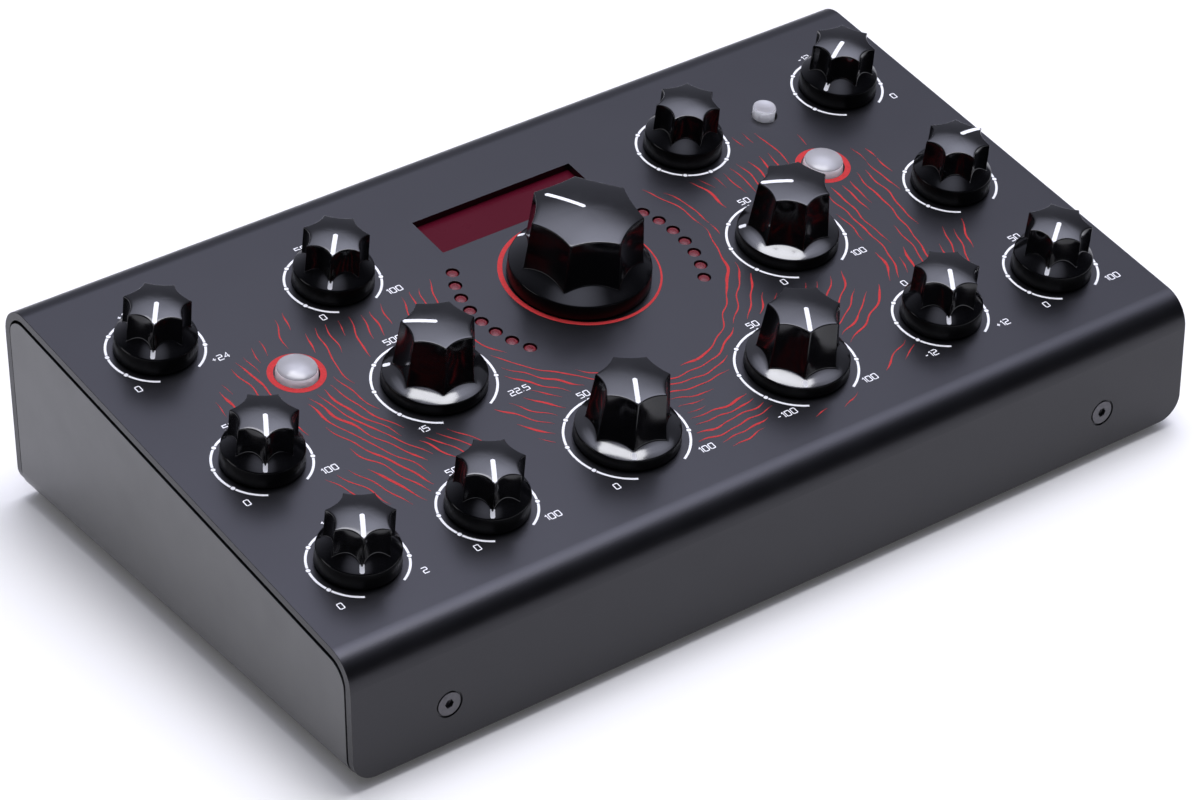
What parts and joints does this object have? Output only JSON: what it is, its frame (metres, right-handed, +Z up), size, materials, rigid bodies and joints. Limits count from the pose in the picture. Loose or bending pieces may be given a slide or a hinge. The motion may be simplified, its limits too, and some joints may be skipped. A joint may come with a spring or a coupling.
{
  "type": "audio delay unit",
  "caption": "Desktop audio delay unit: sloping folded-sheet case with fluted skirted knobs, domed buttons, lamp arcs, a display window and rear sockets.",
  "frame": {"origin": "middle of the footprint, on the table under the feet", "axes": "+X to the right as seen from the front, +Y to the back where the sockets are, +Z up"},
  "size_m": [0.242, 0.146, 0.0683],
  "materials": {
    "cover_paint": "fine satin black powder coat with printed scales",
    "tray_paint": "fine satin black powder coat",
    "black_steel": "black-oxide steel",
    "bright_steel": "nickel-plated steel",
    "foot_rubber": "matt black rubber",
    "board_green": "green solder mask on glass laminate",
    "ribbon_grey": "grey flat cable",
    "plug_black": "black moulded connector",
    "filter_red": "dark red display filter",
    "display_black": "black display block",
    "lamp_red": "dark red diffused lamp",
    "shaft_metal": "turned shaft",
    "knob_black": "glossy black moulding with white pointer",
    "button_white": "milky translucent cap",
    "plunger_cream": "cream switch plunger",
    "switch_black": "black moulding",
    "socket_black": "black moulding",
    "rocker_black": "black rocker"
  },
  "bodies": {
    "case": {"top_cover": "cover_paint", "bottom_tray": "tray_paint", "cover_screws": "black_steel", "clinch_nuts": "bright_steel", "rubber_feet": "foot_rubber", "control_board": "board_green", "main_board": "board_green", "ribbon_cable": "ribbon_grey", "ribbon_plugs": "plug_black", "display_filter": "filter_red", "display_module": "display_black", "indicator_lamps": "lamp_red", "pot_housings": "bright_steel", "encoder_housing": "bright_steel", "bush_nuts": "bright_steel", "bush_washers": "bright_steel", "button_switches": "switch_black", "audio_jacks": "socket_black", "jack_nuts": "bright_steel", "midi_socket": "socket_black", "power_inlet": "socket_black", "power_switch": "switch_black"},
    "power_rocker": {"power_rocker": "rocker_black"},
    "gain_control": {"gain_knob": "knob_black", "gain_shaft": "shaft_metal"},
    "motion_control": {"motion_knob": "knob_black", "motion_shaft": "shaft_metal"},
    "filter_control": {"filter_knob": "knob_black", "filter_shaft": "shaft_metal"},
    "mod_speed_control": {"mod_speed_knob": "knob_black", "mod_speed_shaft": "shaft_metal"},
    "mod_depth_control": {"mod_depth_knob": "knob_black", "mod_depth_shaft": "shaft_metal"},
    "cutoff_control": {"cutoff_knob": "knob_black", "cutoff_shaft": "shaft_metal"},
    "reverb_control": {"reverb_knob": "knob_black", "reverb_shaft": "shaft_metal"},
    "volume_control": {"volume_knob": "knob_black", "volume_shaft": "shaft_metal"},
    "ping_pong_control": {"ping_pong_knob": "knob_black", "ping_pong_shaft": "shaft_metal"},
    "shimmer_control": {"shimmer_knob": "knob_black", "shimmer_shaft": "shaft_metal"},
    "pitch_control": {"pitch_knob": "knob_black", "pitch_shaft": "shaft_metal"},
    "feedback_control": {"feedback_knob": "knob_black", "feedback_shaft": "shaft_metal"},
    "mix_control": {"mix_knob": "knob_black", "mix_shaft": "shaft_metal"},
    "time_control": {"time_knob": "knob_black", "time_shaft": "shaft_metal"},
    "data_control": {"data_knob": "knob_black", "data_shaft": "shaft_metal"},
    "freeze_key": {"freeze_button": "button_white", "freeze_plunger": "plunger_cream"},
    "tap_key": {"tap_button": "button_white", "tap_plunger": "plunger_cream"},
    "back_key": {"back_button": "button_white", "back_plunger": "plunger_cream"}
  },
  "joints": [
    {"name": "gain_turn", "type": "hinge", "parent": "case", "child": "gain_control", "pos_m": [-0.10065, 0.03554, 0.05151], "axis": [0, 0.1513, -0.9885], "range_deg": [-7, 293]},
    {"name": "motion_turn", "type": "hinge", "parent": "case", "child": "motion_control", "pos_m": [-0.0517, 0.03554, 0.05151], "axis": [0, 0.1513, -0.9885], "range_deg": [-10, 290]},
    {"name": "filter_turn", "type": "hinge", "parent": "case", "child": "filter_control", "pos_m": [-0.10065, -0.00865, 0.04475], "axis": [0, 0.1513, -0.9885], "range_deg": [0, 300]},
    {"name": "mod_speed_turn", "type": "hinge", "parent": "case", "child": "mod_speed_control", "pos_m": [-0.10065, -0.04641, 0.03897], "axis": [0, 0.1513, -0.9885], "range_deg": [0, 300]},
    {"name": "mod_depth_turn", "type": "hinge", "parent": "case", "child": "mod_depth_control", "pos_m": [-0.0659, -0.04641, 0.03897], "axis": [0, 0.1513, -0.9885], "range_deg": [0, 300]},
    {"name": "cutoff_turn", "type": "hinge", "parent": "case", "child": "cutoff_control", "pos_m": [-0.0517, -0.00568, 0.0452], "axis": [0, 0.1513, -0.9885], "range_deg": [-97, 203]},
    {"name": "reverb_turn", "type": "hinge", "parent": "case", "child": "reverb_control", "pos_m": [-0.0247, -0.04335, 0.03944], "axis": [0, 0.1513, -0.9885], "range_deg": [0, 300]},
    {"name": "volume_turn", "type": "hinge", "parent": "case", "child": "volume_control", "pos_m": [0.10065, 0.03554, 0.05151], "axis": [0, 0.1513, -0.9885], "range_deg": [-31, 269]},
    {"name": "ping_pong_turn", "type": "hinge", "parent": "case", "child": "ping_pong_control", "pos_m": [0.10065, -0.00865, 0.04475], "axis": [0, 0.1513, -0.9885], "range_deg": [-237, 63]},
    {"name": "shimmer_turn", "type": "hinge", "parent": "case", "child": "shimmer_control", "pos_m": [0.10065, -0.04641, 0.03897], "axis": [0, 0.1513, -0.9885], "range_deg": [-22, 278]},
    {"name": "pitch_turn", "type": "hinge", "parent": "case", "child": "pitch_control", "pos_m": [0.0659, -0.04641, 0.03897], "axis": [0, 0.1513, -0.9885], "range_deg": [-1, 299]},
    {"name": "feedback_turn", "type": "hinge", "parent": "case", "child": "feedback_control", "pos_m": [0.0517, -0.00568, 0.0452], "axis": [0, 0.1513, -0.9885], "range_deg": [-91, 209]},
    {"name": "mix_turn", "type": "hinge", "parent": "case", "child": "mix_control", "pos_m": [0.0247, -0.04335, 0.03944], "axis": [0, 0.1513, -0.9885], "range_deg": [0, 300]},
    {"name": "time_turn", "type": "hinge", "parent": "case", "child": "time_control", "pos_m": [0, 0.00845, 0.04736], "axis": [0, 0.1513, -0.9885], "range_deg": [-124, 176]},
    {"name": "data_turn", "type": "hinge", "parent": "case", "child": "data_control", "pos_m": [0.0517, 0.03554, 0.05151], "axis": [0, 0.1513, -0.9885], "continuous": true},
    {"name": "freeze_press", "type": "slide", "parent": "case", "child": "freeze_key", "axis": [0, 0.1513, -0.9885], "range_m": [0, 0.0005], "stiffness_N_per_m": 1000, "springref_m": -0.001},
    {"name": "tap_press", "type": "slide", "parent": "case", "child": "tap_key", "axis": [0, 0.1513, -0.9885], "range_m": [0, 0.0005], "stiffness_N_per_m": 1000, "springref_m": -0.001},
    {"name": "back_press", "type": "slide", "parent": "case", "child": "back_key", "axis": [0, 0.1513, -0.9885], "range_m": [0, 0.0005], "stiffness_N_per_m": 1000, "springref_m": -0.001},
    {"name": "power_rock", "type": "hinge", "parent": "case", "child": "power_rocker", "pos_m": [-0.053, 0.0666, 0.0255], "axis": [1, 0, 0], "range_deg": [0, 16]}
  ]
}
